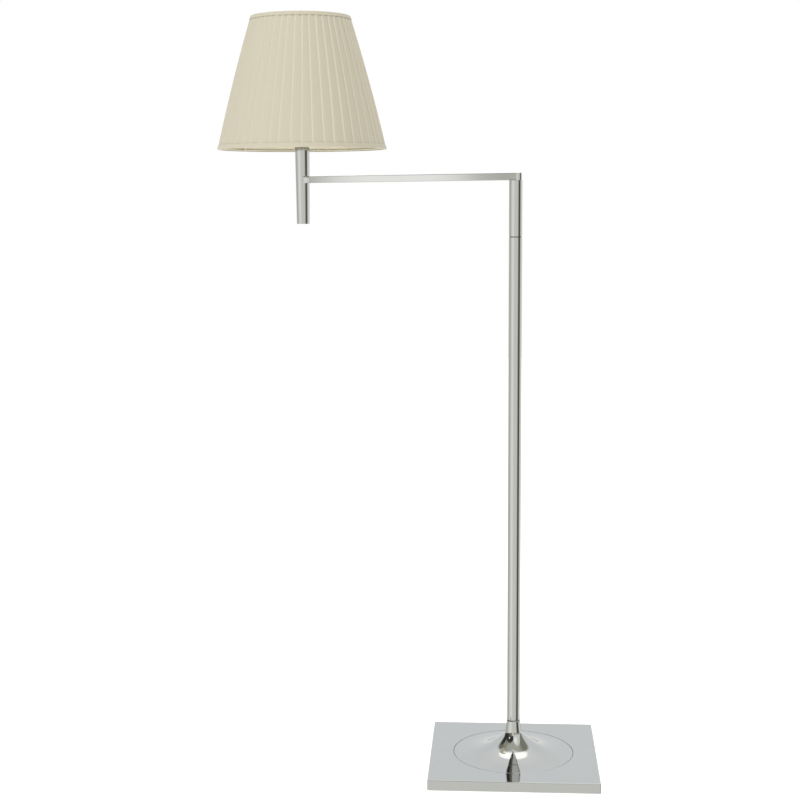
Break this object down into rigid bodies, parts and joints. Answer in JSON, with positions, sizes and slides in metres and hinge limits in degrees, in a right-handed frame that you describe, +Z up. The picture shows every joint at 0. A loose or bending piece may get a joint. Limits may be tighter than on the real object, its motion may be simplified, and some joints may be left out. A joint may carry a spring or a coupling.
{
  "type": "bridge floor lamp",
  "caption": "Bridge floor lamp: square weighted base with a flared hub, round pole, square arm on a swivel, tapered stem and a pleated empire shade.",
  "frame": {"origin": "centre of the base's underside, on the floor", "axes": "+Z up along the pole, X and Y along the sides of the square base, the cord inlet at +Y; at rest the arm points 145 degrees from +X towards +Y"},
  "size_m": [0.7231, 0.6003, 1.3635],
  "materials": {
    "chromed_steel": "polished",
    "zinc_steel": "satin",
    "brass": "satin",
    "pad_rubber": "matt",
    "cast_iron": "matt",
    "grommet_rubber": "matt",
    "terminal_plastic": "matt",
    "joint_ring": "matt",
    "joint_washer": "matt",
    "lead_insulation": "satin",
    "holder_plastic": "satin",
    "porcelain": "glossy",
    "bulb_metal": "satin",
    "opal_glass": "opal",
    "frame_wire": "satin",
    "lining": "satin",
    "pleated_fabric": "pleated, silky",
    "trim_fabric": "silky"
  },
  "bodies": {
    "base": {"base_pad": "pad_rubber", "ballast_plate": "cast_iron", "base_cover": "chromed_steel", "cover_screws": "zinc_steel", "hub_disc": "chromed_steel", "hub_screws": "zinc_steel", "cord_grommet": "grommet_rubber", "terminal_block": "terminal_plastic", "neck_nut": "brass", "pole_pipe": "brass", "neck_ring": "joint_ring", "pole_foot_plug": "zinc_steel", "pole_tube": "chromed_steel", "swivel_bush": "brass", "swivel_washer": "joint_washer", "lead_in_pole": "lead_insulation"},
    "arm": {"swivel_spindle": "brass", "stop_pin": "zinc_steel", "spindle_washer": "zinc_steel", "spindle_nut": "brass", "upper_foot_plug": "zinc_steel", "upper_tube": "chromed_steel", "upper_top_plug": "zinc_steel", "arm_nipple": "brass", "arm_end_block": "zinc_steel", "arm_bar": "chromed_steel", "arm_saddle": "chromed_steel", "stem_tube": "chromed_steel", "stem_end_plug": "chromed_steel", "stem_top_plug": "zinc_steel", "holder_nipple": "brass", "holder_nut": "brass", "holder_cap": "holder_plastic", "holder_body": "holder_plastic", "holder_core": "porcelain", "holder_terminals": "brass", "screw_shell": "brass", "centre_contact": "brass", "bulb_base": "bulb_metal", "bulb_glass": "opal_glass", "carrier_ring": "frame_wire", "carrier_arms": "frame_wire", "carrier_clamp": "holder_plastic", "shade_bottom_ring": "frame_wire", "shade_top_ring": "frame_wire", "shade_ribs": "frame_wire", "shade_lining": "lining", "shade_fabric": "pleated_fabric", "shade_bottom_trim": "trim_fabric", "shade_top_trim": "trim_fabric", "lead_in_arm": "lead_insulation"}
  },
  "joints": [
    {"name": "arm_swivel", "type": "hinge", "parent": "base", "child": "arm", "pos_m": [0, 0, 0.95], "axis": [0, 0, 1], "range_deg": [-155, 155]}
  ]
}
